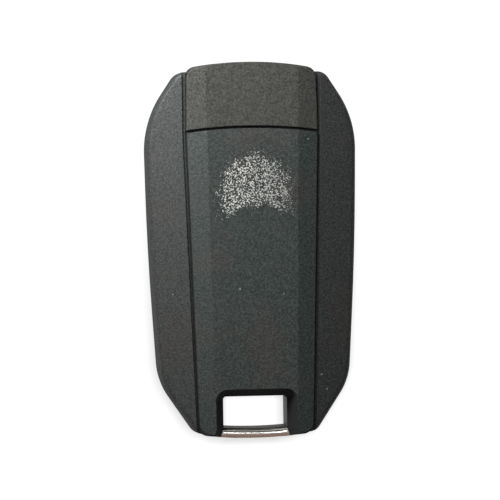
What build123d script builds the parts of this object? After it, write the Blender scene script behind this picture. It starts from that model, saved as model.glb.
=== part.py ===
"""Flip key remote: a folding key blade and a three button transmitter in one case.

Millimetres. +Z is the rear face, +Y the head where the blade turns, -Y the key ring end.
The case lies on its front rails at z = 0.
"""
import os
from math import asin, cos, degrees, radians, sin, sqrt

from build123d import *

os.makedirs("parts", exist_ok=True)

# Case outline, seen from the rear: drops are measured from the head's end, rises from the foot's
case_length = 76.0
rail_head_step = 2.2
rail_foot_step = 1.1
temple_step = 1.7
temple_radius = 3.0
shoulder_half_width = 21.35
shoulder_drop = 11.9
shoulder_radius = 20.0
waist_inset = 0.5
waist_radius = 600.0
hip_inset = 2.1
hip_rise = 11.7
hip_radius = 12.5
toe_step = 0.65
toe_radius = 3.0
rear_draft = 4.0
front_draft = 1.0

# Centre column, which the covers and the front panel fill: it narrows both ways from its bend
column_bend_half = 13.2
column_bend_drop = 16.0
column_head_half = 12.95
column_foot_half = 11.45
column_head_radius = 64.0
column_foot_radius = 90.0
column_corner_radius = 2.4
end_draft = 6.0
groove_head = 0.7
groove_foot = 0.35
recess_overrun = 3.0
seam_drop = 13.7
seam_radius = 100.0
seam_gap = 0.4

# Heights from the front rails, and depths from the rear face
case_depth = 15.5
parting_z = 7.6
panel_front_z = 0.4
panel_thickness = 0.9
floor_thickness = 1.0
cover_depth = 2.3
groove_depth = 1.65
deck_thickness = 1.6
wall = 1.6

# Rear crown: a flat band with a facet falling away on each side
crown_head_half = 9.3
crown_foot_half = 8.1
facet_angle = 13.0
rail_edge_radius = 1.2
front_edge_radius = 2.2
crisp_radius = 0.25
cover_edge_radius = 0.2
cover_side_radius = 0.45
cover_pocket_depth = 0.9
cover_pocket_wall = 1.75
cover_pocket_head_wall = 4.3
cover_pocket_foot_wall = 7.8
cell_stop_radius = 3.0
tongue_width = 1.0
tongue_length = 2.4
tongue_depth = 1.2
tongue_inset = 2.2
tongue_seam_gap = 6.8
tongue_hole_gap = 9.5

# Fits
slide_gap = 0.15
running_gap = 0.05
set_gap = 0.02
panel_gap = 0.1
cover_gap = 0.1

# Flip head and blade
pivot_x = 6.0
pivot_drop = 11.5
blade_offset = 8.0
blade_width = 7.6
blade_thickness = 2.5
blade_tip_rise = 12.5
blade_root = 4.6
blade_tip_flat = 2.6
blade_tip_bevel = 3.0
blade_groove_width = 1.7
blade_groove_depth = 0.55
blade_edge_bevel = 0.35
neck_side = 0.8
neck_cover = 0.75
neck_length = 12.5
neck_corner_radius = 1.4
hub_radius = 9.6
hub_skin = 0.8
collar_radius = 7.0
collar_wall = 1.65
collar_air = 0.1
journal_radius = 4.5
journal_skin = 0.6
slot_air = 0.2
side_air = 0.3
pin_radius = 0.8
pin_wall = 0.25

# Release button and its spring
button_stroke = 1.3
button_front_z = 0.3
button_height = 4.7
button_skin = 1.3
button_side = 1.0
button_dish = 0.35
button_rim_start = 4.3
ring_shell = 0.75
lug_width = 2.4
lug_reach = 0.9
lug_thickness = 1.2
lug_z = 3.2
spring_wire = 0.6
spring_turns = 5

# Key ring end
ring_bar_width = 2.2
ring_hole_half = 6.4
ring_hole_length = 6.5
ring_leg = 1.2
ring_leg_root = 2.0
ring_low_z = 4.3
ring_high_depth = 4.2
ring_bar_rounding = 1.0
funnel_angle = 22.0
funnel_flare = 0.7
funnel_corner_radius = 0.6
collar_inset = 1.45
collar_head_wall = 2.6
ring_wall = 2.5

# Electronics
board_z = 6.0
board_thickness = 1.0
board_gap = 0.4
cell_radius = 10.0
cell_thickness = 3.2
cell_x = -1.6
cell_drop = 40.0
cell_air = 0.25
cell_sink = 0.4
cell_cap_height = 0.3
cell_cap_inset = 1.1
tray_wall = 0.9
tray_floor = 0.9
contact_sheet = 0.2
contact_width = 3.0
contact_foot = 1.6
finger_slot = 7.2
switch_size = 4.6
switch_height = 1.5
stem_radius = 1.0
stem_height = 1.1
stem_reach = 0.4

# Chips on the board: width, length and height, and the middle's place
chip_bevel = 0.15
chip_row_rise = 18.8
microcontroller_size = (5.0, 5.0, 0.9)
microcontroller_x = -8.5
crystal_size = (2.5, 3.2, 0.8)
crystal_x = -2.0
transponder_size = (3.0, 11.8, 2.4)
transponder_x = -15.3
transponder_drop = 38.0

# Remote buttons
key_width = 13.6
key_gap = 2.1
key_head_margin = 3.6
key_foot_margin = 10.8
key_corner_radius = 2.2
key_front_z = 0.2
key_flange = 0.5
key_flange_thickness = 0.6
key_flange_air = 0.1
key_stroke = 0.4
mat_plate = 0.6
mat_skirt = 0.8
mat_pad_radius = 1.7
mat_border = 0.3

# Screws, posts, and ribs across the blade channel
head_screw_x = -8.0
head_screw_drop = 19.5
foot_screw_x = 4.9
foot_screw_rise = 15.4
screw_shank_radius = 0.95
screw_head_radius = 1.9
screw_head_height = 1.1
screw_length = 8.8
screw_sink = 0.1
boss_radius = 2.2
spigot_radius = 1.5
cross_width = 0.5
cross_length = 2.0
post_radius = 1.0
post_left_x = -14.3
post_right_x = 6.2
post_drop = 26.5
post_rise = 18.5
rib_count = 5
rib_thickness = 1.2
rib_rise = 16.0
rib_drop = 32.0
guard_wall = 1.3

# Derived outline
head_end_y = case_length / 2
foot_end_y = -case_length / 2
shoulder_y = head_end_y - shoulder_drop
hip_y = foot_end_y + hip_rise
waist_y = (shoulder_y + hip_y) / 2
waist_half_width = shoulder_half_width - waist_inset
hip_half_width = shoulder_half_width - hip_inset
temple_half_width = column_bend_half + temple_step
toe_half_width = column_foot_half + toe_step
column_bend_y = head_end_y - column_bend_drop
head_corner_y = head_end_y - column_head_radius + sqrt(column_head_radius**2 - column_head_half**2)
foot_corner_y = foot_end_y + column_foot_radius - sqrt(column_foot_radius**2 - column_foot_half**2)
seam_y = head_end_y - seam_drop
seam_middle = [(0, seam_y - seam_radius)]

# Derived heights
panel_seat_z = panel_front_z + panel_thickness
floor_z = panel_seat_z + floor_thickness
deck_z = case_depth - cover_depth
groove_floor_z = case_depth - groove_depth
ceiling_z = deck_z - deck_thickness
ring_high_z = case_depth - ring_high_depth
blade_low_z = parting_z - blade_thickness / 2
blade_high_z = parting_z + blade_thickness / 2
neck_low_z = blade_low_z - neck_cover
neck_high_z = blade_high_z + neck_cover
spring_seat_z = neck_high_z - hub_skin
journal_top_z = deck_z - journal_skin
collar_low_z = panel_seat_z + collar_air
cell_high_z = deck_z - cell_sink
cell_low_z = cell_high_z - cell_thickness
tray_floor_z = cell_low_z - tray_floor
board_top_z = board_z + board_thickness
switch_low_z = board_z - switch_height
stem_low_z = switch_low_z - stem_reach
key_flange_z = floor_z + key_flange_air
mat_low_z = key_flange_z + key_flange_thickness + running_gap
mat_high_z = mat_low_z + mat_plate
screw_seat_z = deck_z - screw_head_height - screw_sink
screw_point_z = screw_seat_z - screw_length
tongue_pocket_z = deck_z - tongue_depth - slide_gap

# Derived places
pivot_y = head_end_y - pivot_drop
pivot = (pivot_x, pivot_y)
blade_x = pivot_x + blade_offset
blade_tip_y = foot_end_y + blade_tip_rise
blade_root_y = pivot_y - blade_root
neck_inner = blade_offset - blade_width / 2 - neck_side
neck_outer = blade_offset + blade_width / 2 + neck_side
neck_sweep = sqrt(neck_outer**2 + neck_length**2)
pin_place = (blade_x, pivot_y - (blade_root + neck_length) / 2)
guard_x = blade_x - blade_width / 2 - side_air - guard_wall
hole_foot_y = foot_end_y + ring_bar_width
hole_head_y = hole_foot_y + ring_hole_length
cavity_foot_y = hole_head_y + ring_wall
collar_half = column_foot_half - collar_inset
collar_top_y = hole_head_y + collar_head_wall
cell_y = head_end_y - cell_drop
cell_place = [(cell_x, cell_y)]
board_foot_y = cavity_foot_y + board_gap
board_head_y = pivot_y - hub_radius - side_air - guard_wall - board_gap
board_length = board_head_y - board_foot_y
board_side_x = pivot_x + neck_inner - side_air - guard_wall - board_gap
cover_pocket_foot_y = hole_head_y + cover_pocket_foot_wall
cover_pocket_half = column_foot_half - cover_pocket_wall
cover_pocket_length = seam_y - cover_pocket_head_wall - cover_pocket_foot_y
key_head_y = pivot_y - hub_radius - key_head_margin
key_foot_y = hole_head_y + key_foot_margin
key_mid_y = (key_head_y + key_foot_y) / 2
key_height = (key_head_y - key_foot_y - 2 * key_gap) / 3
key_pitch = key_height + key_gap
key_rows = {"unlock": key_mid_y + key_pitch, "boot": key_mid_y, "lock": key_mid_y - key_pitch}
key_places = [(0, y) for y in key_rows.values()]
screw_places = [(head_screw_x, head_end_y - head_screw_drop), (foot_screw_x, foot_end_y + foot_screw_rise)]
post_head_y = head_end_y - post_drop
post_places = [(post_left_x, post_head_y), (post_right_x, post_head_y), (post_left_x, foot_end_y + post_rise)]
rib_first_y = foot_end_y + rib_rise
rib_step = (head_end_y - rib_drop - rib_first_y) / (rib_count - 1)
rib_rows = [rib_first_y + rib_step * row for row in range(rib_count)]

# Derived radii
button_radius = collar_radius - collar_wall - 2 * running_gap
cup_radius = button_radius - button_side
lug_air = 2 * slide_gap
lug_radius = collar_radius + lug_reach
bearing_radius = collar_radius + running_gap
well_radius = cell_radius + cell_air


def rails_sketch():
    """The whole case outline without the column's two ends."""
    corners = [
        (0, foot_end_y + rail_foot_step),
        (toe_half_width, foot_end_y + rail_foot_step),
        (hip_half_width, hip_y),
        (waist_half_width, waist_y),
        (shoulder_half_width, shoulder_y),
        (temple_half_width, head_end_y - rail_head_step),
        (0, head_end_y - rail_head_step),
    ]
    radii = [toe_radius, hip_radius, waist_radius, shoulder_radius, temple_radius]
    with BuildSketch() as outline:
        with BuildLine():
            half = FilletPolyline(*corners, radius=radii)
            mirror(half, about=Plane.YZ)
        make_face()
    return outline.sketch


def column_half(y):
    """Half the column's width at y."""
    if y > column_bend_y:
        slope = (column_bend_half - column_head_half) / (head_corner_y - column_bend_y)
    else:
        slope = (column_bend_half - column_foot_half) / (column_bend_y - foot_corner_y)
    return column_bend_half - slope * abs(y - column_bend_y)


def column_outline():
    """The tapered centre column, from the head's arc to the key ring end's arc, with sharp corners."""
    head = (column_head_half, head_corner_y)
    bend = (column_bend_half, column_bend_y)
    foot = (column_foot_half, foot_corner_y)
    with BuildSketch() as outline:
        with BuildLine():
            side = Polyline(head, bend, foot)
            mirror(side, about=Plane.YZ)
            ThreePointArc((-head[0], head[1]), (0, head_end_y), head)
            ThreePointArc((-foot[0], foot[1]), (0, foot_end_y), foot)
        make_face()
    return outline.sketch


def column_sketch(grow=0.0):
    """The centre column with rounded corners."""
    with BuildSketch() as outline:
        add(column_outline())
        ends = outline.vertices().group_by(Axis.Y)
        fillet(ends[0] + ends[-1], column_corner_radius)
        if grow:
            offset(amount=grow, kind=Kind.INTERSECTION)
    return outline.sketch


def case_sketch(shrink=0.0):
    """Rails and column together."""
    with BuildSketch() as rails:
        add(rails_sketch())
        if shrink:
            offset(amount=-shrink, kind=Kind.INTERSECTION)
    with BuildSketch() as outline:
        add(rails.sketch)
        add(column_sketch(-shrink))
    return outline.sketch


def strip_sketch(foot_half, bend_half, head_half):
    """A strip round the column, whose sides run straight on past both ends."""
    foot = (foot_half, foot_end_y - recess_overrun)
    head = (head_half, head_end_y + recess_overrun)
    with BuildSketch() as outline:
        with BuildLine():
            half = Polyline((0, foot[1]), foot, (bend_half, column_bend_y), head, (0, head[1]))
            mirror(half, about=Plane.YZ)
        make_face()
    return outline.sketch


def recess_sketch(gap):
    """The column's place in a shell."""
    foot_half = column_half(foot_end_y - recess_overrun)
    head_half = column_half(head_end_y + recess_overrun)
    return strip_sketch(foot_half + gap, column_bend_half + gap, head_half + gap)


def sweep_sketch(half_width, end_y, air):
    """Where a bar at the blade's offset passes, from folded to open."""
    reach = shoulder_half_width + case_length
    with BuildSketch() as outline:
        with Locations((blade_x - half_width - air, end_y - air)):
            Rectangle(reach, pivot_y - end_y + air, align=(Align.MIN, Align.MIN))
        with Locations((pivot_x - blade_offset - half_width - air, pivot_y)):
            Rectangle(reach, reach, align=(Align.MIN, Align.MIN))
        with Locations(pivot):
            Circle(hub_radius + air)
    return outline.sketch


def neck_path_sketch():
    """Where the blade's neck passes."""
    with BuildSketch() as outline:
        add(sweep_sketch((neck_outer - neck_inner) / 2, pivot_y - neck_sweep, side_air))
        with Locations(pivot):
            Circle(neck_sweep + side_air, mode=Mode.INTERSECT)
    return outline.sketch


def guard_sketch():
    """A wall round the blade's path, inside the case."""
    with BuildSketch() as path:
        add(blade_path)
        add(neck_path)
    with BuildSketch() as outline:
        add(path.sketch)
        offset(amount=guard_wall, kind=Kind.INTERSECTION)
        add(path.sketch, mode=Mode.SUBTRACT)
        add(case_sketch(shrink=wall / 2), mode=Mode.INTERSECT)
    return outline.sketch


def cavity_sketch():
    """The hollow inside the walls, from the key ring's wall to the head."""
    with BuildSketch() as outline:
        add(case_sketch(shrink=wall))
        with Locations((0, cavity_foot_y)):
            Rectangle(case_length, case_length, align=(Align.CENTER, Align.MIN), mode=Mode.INTERSECT)
    return outline.sketch


def channel_ribs_sketch():
    """Short ribs from the guard to the outer wall."""
    with BuildSketch() as outline:
        with Locations([(guard_x, y) for y in rib_rows]):
            Rectangle(shoulder_half_width, rib_thickness, align=(Align.MIN, Align.CENTER))
        add(case_sketch(shrink=wall / 2), mode=Mode.INTERSECT)
    return outline.sketch


def ring_hole_sketch():
    """The key ring hole, open towards the key ring end, with its mouth flared."""
    beyond = foot_end_y - ring_bar_width
    flare = ring_hole_half + 2 * funnel_flare
    with BuildSketch() as outline:
        with BuildLine():
            half = Polyline(
                (0, hole_head_y),
                (ring_hole_half, hole_head_y),
                (ring_hole_half, hole_foot_y),
                (flare, beyond),
                (0, beyond),
            )
            mirror(half, about=Plane.YZ)
        make_face()
        fillet(outline.vertices().group_by(Axis.Y)[-1], funnel_corner_radius)
    return outline.sketch


def bracket_sketch(gap):
    """The key ring bracket's place: a U that is open towards the head."""
    outer = ring_hole_half + ring_leg + gap
    inner = ring_hole_half - gap
    with BuildSketch() as outline:
        with Locations((0, hole_head_y + ring_leg_root + gap)):
            Rectangle(2 * outer, case_length, align=(Align.CENTER, Align.MAX))
        with Locations((0, case_length + hole_foot_y)):
            Rectangle(2 * inner, 2 * case_length, mode=Mode.SUBTRACT)
        add(column_sketch(), mode=Mode.INTERSECT)
    return outline.sketch


def discs(places, radius):
    """A round sketch at each place."""
    with BuildSketch() as outline:
        with Locations(places):
            Circle(radius)
    return outline.sketch


def blocks(places, width, height, align=(Align.CENTER, Align.CENTER)):
    """A rectangle at each place."""
    with BuildSketch() as outline:
        with Locations(places):
            Rectangle(width, height, align=align)
    return outline.sketch


def rounded_blocks(places, width, height, radius):
    """A rectangle with rounded corners at each place."""
    with BuildSketch() as outline:
        with Locations(places):
            RectangleRounded(width, height, radius)
    return outline.sketch


def facet_plane(side):
    """The plane of one facet, through its crown line and falling outwards."""
    run = Vector(side * (crown_head_half - crown_foot_half), case_length, 0)
    fall = Vector(side * cos(radians(facet_angle)), 0, -sin(radians(facet_angle)))
    upward = run.cross(fall) * -side
    return Plane(origin=(side * crown_foot_half, foot_end_y, case_depth), x_dir=run, z_dir=upward)


def once(faces):
    """The edges round a patch of faces, without those between them."""
    edges = [edge for face in faces for edge in face.edges()]
    return [edge for edge in edges if sum(edge.is_same(other) for other in edges) == 1]


def cut_facets():
    """Cut both facets on the part being built."""
    for side in (1, -1):
        split(bisect_by=facet_plane(side), keep=Keep.BOTTOM)


def rear_rim(body):
    """The edges round the rear face: round its flat band and its facets together."""
    steepest = cos(radians(2 * facet_angle))
    return once(body.faces().filter_by(lambda face: face.normal_at().Z > steepest))


def round_cover(body):
    """Round a cover's rear face on the part being built, more along its two long sides."""
    nearly_along = cos(radians(2 * facet_angle))
    fillet([edge for edge in rear_rim(body) if abs(edge.tangent_at(0.5).Y) > nearly_along], cover_side_radius)
    fillet(rear_rim(body), cover_edge_radius)


def layer(sketch, low_z, high_z, mode=Mode.ADD):
    """One sketch as a straight layer between two heights, in the part being built."""
    with BuildSketch(Plane.XY.offset(low_z)) as flat:
        add(sketch)
    extrude(flat.sketch, amount=high_z - low_z, mode=mode)


def upright_block(sketch, outer_z, angle, leaning):
    """A sketch raised from the parting plane, with the named kinds of upright faces leaning inwards."""
    away = Plane(origin=(0, 0, parting_z), z_dir=(0, 0, outer_z - parting_z))
    with BuildPart() as block:
        layer(sketch, parting_z, outer_z)
        upright = block.faces().filter_by(Axis.Z, reverse=True)
        draft([face for face in upright if face.geom_type in leaning], away, angle)
    return block.part


def column_block(outer_z):
    """The column on one side of the parting plane, with both ends leaning inwards."""
    with BuildPart() as block:
        add(upright_block(column_outline(), outer_z, end_draft, [GeomType.CYLINDER]))
        upright = block.edges().filter_by(Axis.Z, reverse=True).filter_by(Plane.XY, reverse=True)
        corners = upright.group_by(Axis.Y)
        fillet(corners[0] + corners[-1], column_corner_radius)
    return block.part


def funnel(inner_z, outer_z):
    """Cut the key ring hole's funnel, widening from inner_z to outer_z."""
    with BuildSketch(Plane.XY.offset(inner_z)) as mouth:
        add(ring_hole)
    extrude(mouth.sketch, amount=outer_z - inner_z, taper=-funnel_angle, mode=Mode.SUBTRACT)


# Forms that several parts share
rear_column = column_block(case_depth)
front_column = column_block(0)
cavity = cavity_sketch()
ribs = channel_ribs_sketch()
groove_strip = strip_sketch(
    column_half(foot_end_y) + groove_foot, column_bend_half + groove_head, column_bend_half + groove_head
)
blade_path = sweep_sketch(blade_width / 2, blade_tip_y, side_air)
neck_path = neck_path_sketch()
guard = guard_sketch()
ring_hole = ring_hole_sketch()
bracket_place = bracket_sketch(set_gap)
key_hole_size = (key_width + 2 * slide_gap, key_height + 2 * slide_gap)
key_holes = rounded_blocks(key_places, *key_hole_size, key_corner_radius)
contact_slot = blocks(cell_place, finger_slot, contact_width + 4 * slide_gap)
contact_side = blocks(
    [(cell_x - well_radius, cell_y)], 2 * (tray_wall + slide_gap), contact_width + 4 * slide_gap
)
collar_place = blocks([(0, collar_top_y)], 2 * collar_half, case_length, (Align.CENTER, Align.MAX))
tongue_rows = [seam_y - tongue_seam_gap, hole_head_y + tongue_hole_gap]
tongue_places = [(side * (column_half(y) - tongue_inset), y) for side in (-1, 1) for y in tongue_rows]
tongues = blocks(tongue_places, tongue_width, tongue_length)
tongue_pockets = blocks(tongue_places, tongue_width + 2 * slide_gap, tongue_length + 2 * slide_gap)
cover_pocket = blocks(
    [(0, cover_pocket_foot_y)], 2 * cover_pocket_half, cover_pocket_length, (Align.CENTER, Align.MIN)
)

# Rear shell: what stands inside it
with BuildPart() as rear_framework:
    layer(guard, parting_z, ceiling_z)
    layer(ribs, blade_high_z + side_air, ceiling_z)
    layer(discs([pivot], journal_radius + guard_wall), neck_high_z + slot_air, ceiling_z)
    layer(discs(cell_place, well_radius + tray_wall), tray_floor_z, ceiling_z)
    layer(discs(screw_places, boss_radius), board_top_z, ceiling_z)
    layer(discs(post_places, post_radius), board_top_z, ceiling_z)

# Rear shell: what is cut out of it
with BuildPart() as rear_openings:
    layer(discs(cell_place, well_radius), cell_low_z, case_depth)
    layer(contact_slot, board_top_z, case_depth)
    layer(contact_side, board_top_z, deck_z)
    layer(discs([pivot], journal_radius + running_gap), parting_z, case_depth)
    layer(discs(screw_places, screw_shank_radius + slide_gap), board_z, case_depth)
    layer(discs(screw_places, screw_head_radius + slide_gap), screw_seat_z, case_depth)
    layer(discs(screw_places, spigot_radius + slide_gap), board_z, parting_z + slide_gap)
    layer(tongue_pockets, tongue_pocket_z, case_depth)
    layer(blade_path, board_z, blade_high_z + side_air)
    layer(neck_path, board_z, neck_high_z + slot_air)
    layer(bracket_place, board_z, ring_high_z)
    layer(ring_hole, board_z, case_depth)
    with BuildSketch(Plane.XY.offset(ring_high_z)):
        add(collar_place)
        offset(amount=slide_gap, kind=Kind.INTERSECTION)
    extrude(amount=case_depth - ring_high_z)

with BuildPart() as rear_shell:
    add(upright_block(rails_sketch(), case_depth, rear_draft, [GeomType.PLANE, GeomType.CYLINDER]))
    cut_facets()
    fillet(rear_rim(rear_shell), rail_edge_radius)
    layer(groove_strip, groove_floor_z, case_depth, mode=Mode.SUBTRACT)
    layer(recess_sketch(cover_gap), deck_z, case_depth, mode=Mode.SUBTRACT)
    add(split(rear_column, bisect_by=Plane.XY.offset(deck_z), keep=Keep.BOTTOM, mode=Mode.PRIVATE))
    layer(cavity, parting_z, ceiling_z, mode=Mode.SUBTRACT)
    add(rear_framework.part)
    add(rear_openings.part, mode=Mode.SUBTRACT)
rear_shell.part.label = "rear_shell"
export_step(rear_shell.part, "parts/rear_shell.step")

# Front shell: what stands inside it
with BuildPart() as front_framework:
    layer(guard, floor_z, parting_z)
    layer(ribs, floor_z, blade_low_z - side_air)
    layer(discs([pivot], lug_radius + lug_air + ring_shell), floor_z, neck_low_z - slot_air)
    layer(discs(screw_places, boss_radius), floor_z, board_z)
    layer(discs(screw_places, spigot_radius), board_z, parting_z - running_gap)

# Front shell: what is cut out of it
with BuildPart() as front_openings:
    layer(discs([pivot], bearing_radius), 0, parting_z)
    layer(discs([pivot], lug_radius + lug_air), lug_z - lug_air, parting_z)
    layer(key_holes, 0, parting_z)
    layer(discs(screw_places, screw_shank_radius + set_gap), screw_point_z - slide_gap, case_depth)
    layer(blade_path, blade_low_z - side_air, case_depth)
    layer(neck_path, neck_low_z - slot_air, case_depth)
    layer(bracket_place, ring_low_z, case_depth)
    layer(ring_hole, 0, case_depth)

with BuildPart() as front_shell:
    add(upright_block(rails_sketch(), 0, front_draft, [GeomType.PLANE, GeomType.CYLINDER]))
    fillet(front_shell.faces().sort_by(Axis.Z)[0].edges(), front_edge_radius)
    layer(recess_sketch(0), 0, panel_seat_z, mode=Mode.SUBTRACT)
    add(split(front_column, bisect_by=Plane.XY.offset(panel_seat_z), keep=Keep.TOP, mode=Mode.PRIVATE))
    layer(cavity, floor_z, parting_z, mode=Mode.SUBTRACT)
    add(front_framework.part)
    add(front_openings.part, mode=Mode.SUBTRACT)
    funnel(ring_low_z, 0)
front_shell.part.label = "front_shell"
export_step(front_shell.part, "parts/front_shell.step")

# Front panel, let in between the front rails
with BuildPart() as front_panel:
    layer(column_sketch(grow=-panel_gap), panel_front_z, panel_seat_z)
    add(front_column, mode=Mode.INTERSECT)
    fillet(front_panel.faces().sort_by(Axis.Z)[0].edges(), crisp_radius)
    layer(key_holes, 0, parting_z, mode=Mode.SUBTRACT)
    layer(discs([pivot], button_radius + slide_gap), 0, parting_z, mode=Mode.SUBTRACT)
    funnel(ring_low_z, 0)
front_panel.part.label = "front_panel"
export_step(front_panel.part, "parts/front_panel.step")

# Head cover, above the seam
with BuildPart() as head_cover:
    add(rear_column)
    split(bisect_by=Plane.XY.offset(deck_z), keep=Keep.TOP)
    layer(discs(seam_middle, seam_radius + seam_gap / 2), deck_z, case_depth, mode=Mode.SUBTRACT)
    cut_facets()
    round_cover(head_cover)
head_cover.part.label = "head_cover"
export_step(head_cover.part, "parts/head_cover.step")

# Battery cover: the tapered centre panel with the key ring funnel's collar
with BuildPart() as collar:
    add(rear_column)
    layer(collar_place, ring_high_z + running_gap, deck_z, mode=Mode.INTERSECT)

with BuildPart() as battery_cover:
    add(rear_column)
    split(bisect_by=Plane.XY.offset(deck_z), keep=Keep.TOP)
    layer(discs(seam_middle, seam_radius - seam_gap / 2), deck_z, case_depth, mode=Mode.INTERSECT)
    cut_facets()
    round_cover(battery_cover)
    layer(cover_pocket, deck_z, deck_z + cover_pocket_depth, mode=Mode.SUBTRACT)
    layer(discs(cell_place, cell_stop_radius), cell_high_z + running_gap, deck_z + cover_pocket_depth)
    layer(tongues, tongue_pocket_z + slide_gap, deck_z)
    add(collar.part)
    funnel(ring_high_z, case_depth + rail_edge_radius)
battery_cover.part.label = "battery_cover"
export_step(battery_cover.part, "parts/battery_cover.step")

# Key ring bracket: a rounded bar on the foot's arc between two flat legs
with BuildPart() as keyring_bar:
    with BuildSketch(Plane.YZ):
        with Locations((foot_end_y + ring_bar_width / 2, (ring_low_z + ring_high_z) / 2)):
            RectangleRounded(ring_bar_width, ring_high_z - ring_low_z, ring_bar_rounding)
    bar_axis = Axis((0, foot_end_y + column_foot_radius, 0), (0, 0, 1))
    bar_turn = degrees(asin((ring_hole_half + ring_leg) / column_foot_radius))
    revolve(axis=bar_axis, revolution_arc=bar_turn)
    mirror(about=Plane.YZ)
    for side in (-1, 1):
        leg_x = side * (ring_hole_half + ring_leg / 2)
        leg_foot_y = hole_foot_y - ring_bar_width / 2
        leg_length = hole_head_y + ring_leg_root - leg_foot_y
        leg = blocks([(leg_x, leg_foot_y)], ring_leg, leg_length, (Align.CENTER, Align.MIN))
        layer(leg, ring_low_z, ring_high_z)
keyring_bar.part.label = "keyring_bar"
export_step(keyring_bar.part, "parts/keyring_bar.step")

# Key blade, folded along the case's right side
with BuildPart() as key_blade:
    with BuildSketch(Plane.XY.offset(blade_low_z)):
        with BuildLine():
            Polyline(
                (blade_x - blade_width / 2, blade_root_y),
                (blade_x - blade_width / 2, blade_tip_y + blade_tip_bevel),
                (blade_x - blade_tip_flat / 2, blade_tip_y),
                (blade_x + blade_tip_flat / 2, blade_tip_y),
                (blade_x + blade_width / 2, blade_tip_y + blade_tip_bevel),
                (blade_x + blade_width / 2, blade_root_y),
                close=True,
            )
        make_face()
    extrude(amount=blade_thickness)
    rims = key_blade.edges().filter_by(Plane.XY).filter_by(lambda edge: edge.center().Y < blade_root_y)
    chamfer(rims, blade_edge_bevel)
    track_length = pivot_y - neck_length - neck_corner_radius - blade_tip_y
    track = blocks([(blade_x, blade_tip_y)], blade_groove_width, track_length, (Align.CENTER, Align.MIN))
    layer(track, blade_high_z - blade_groove_depth, blade_high_z, mode=Mode.SUBTRACT)
    layer(track, blade_low_z, blade_low_z + blade_groove_depth, mode=Mode.SUBTRACT)
    layer(discs([pin_place], pin_radius + set_gap), blade_low_z, blade_high_z, mode=Mode.SUBTRACT)
key_blade.part.label = "key_blade"
export_step(key_blade.part, "parts/key_blade.step")

# Flip hub: a disc with the blade's neck, a collar below it and a journal above it
with BuildPart() as flip_hub:
    with BuildSketch(Plane.XY.offset(neck_low_z)) as neck_tip:
        with Locations((blade_x, pivot_y)):
            Rectangle(neck_outer - neck_inner, neck_length, align=(Align.CENTER, Align.MAX))
        fillet(neck_tip.vertices().group_by(Axis.Y)[0], neck_corner_radius)
        with Locations(pivot):
            Circle(hub_radius)
    extrude(amount=neck_high_z - neck_low_z)
    layer(discs([pivot], collar_radius), collar_low_z, neck_low_z)
    layer(discs([pivot], journal_radius), neck_high_z, journal_top_z)
    layer(discs([pivot], button_radius + 2 * running_gap), collar_low_z, spring_seat_z, mode=Mode.SUBTRACT)
    slots = blocks([pivot], lug_width + 2 * slide_gap, 2 * (lug_radius + lug_air))
    layer(slots, collar_low_z, lug_z + lug_thickness + button_stroke + lug_air, mode=Mode.SUBTRACT)
    socket_place = [(blade_x, blade_root_y + set_gap)]
    socket = blocks(socket_place, blade_width + 2 * set_gap, case_length, (Align.CENTER, Align.MAX))
    layer(socket, blade_low_z - set_gap, blade_high_z + set_gap, mode=Mode.SUBTRACT)
    layer(discs([pin_place], pin_radius + set_gap), neck_low_z, neck_high_z, mode=Mode.SUBTRACT)
flip_hub.part.label = "flip_hub"
export_step(flip_hub.part, "parts/flip_hub.step")

# Roll pin through hub and blade
with BuildPart() as blade_pin:
    layer(discs([pin_place], pin_radius), neck_low_z, neck_high_z)
    layer(discs([pin_place], pin_radius - pin_wall), neck_low_z, neck_high_z, mode=Mode.SUBTRACT)
blade_pin.part.label = "blade_pin"
export_step(blade_pin.part, "parts/blade_pin.step")

# Release button: a dished cup with two lugs. Half way out, the dish keeps three quarters of its depth
button_top_z = button_front_z + button_height
dish_share = 3 / 4
with BuildPart() as release_button:
    with BuildSketch(Plane.XZ.offset(-pivot_y)):
        with BuildLine():
            Polyline(
                (pivot_x + button_rim_start, button_front_z),
                (pivot_x + button_radius, button_front_z),
                (pivot_x + button_radius, button_top_z),
                (pivot_x + cup_radius, button_top_z),
                (pivot_x + cup_radius, button_front_z + button_skin),
                (pivot_x, button_front_z + button_skin),
                (pivot_x, button_front_z + button_dish),
            )
            ThreePointArc(
                (pivot_x, button_front_z + button_dish),
                (pivot_x + button_rim_start / 2, button_front_z + button_dish * dish_share),
                (pivot_x + button_rim_start, button_front_z),
            )
        make_face()
    revolve(axis=Axis((pivot_x, pivot_y, 0), (0, 0, 1)))
    rim = release_button.edges().filter_by(GeomType.CIRCLE).group_by(Axis.Z)[0].sort_by(SortBy.RADIUS)[-1]
    fillet(rim, crisp_radius)
    with BuildSketch(Plane.XY.offset(lug_z)):
        with Locations(pivot):
            Rectangle(lug_width, 2 * lug_radius)
            Circle(lug_radius, mode=Mode.INTERSECT)
            Circle(cup_radius, mode=Mode.SUBTRACT)
    extrude(amount=lug_thickness)
release_button.part.label = "release_button"
export_step(release_button.part, "parts/release_button.step")

# Flip spring, between the button's cup and the hub
spring_low_z = button_front_z + button_skin + spring_wire / 2 + running_gap
spring_high_z = spring_seat_z - spring_wire / 2 - running_gap
spring_radius = cup_radius - spring_wire
with BuildPart() as flip_spring:
    with BuildLine():
        coil = Helix(
            pitch=(spring_high_z - spring_low_z) / spring_turns,
            height=spring_high_z - spring_low_z,
            radius=spring_radius,
            center=(pivot_x, pivot_y, spring_low_z),
        )
    with BuildSketch(Plane(origin=coil @ 0, z_dir=coil % 0)):
        Circle(spring_wire / 2)
    sweep(path=coil, is_frenet=True)
flip_spring.part.label = "flip_spring"
export_step(flip_spring.part, "parts/flip_spring.step")

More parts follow.
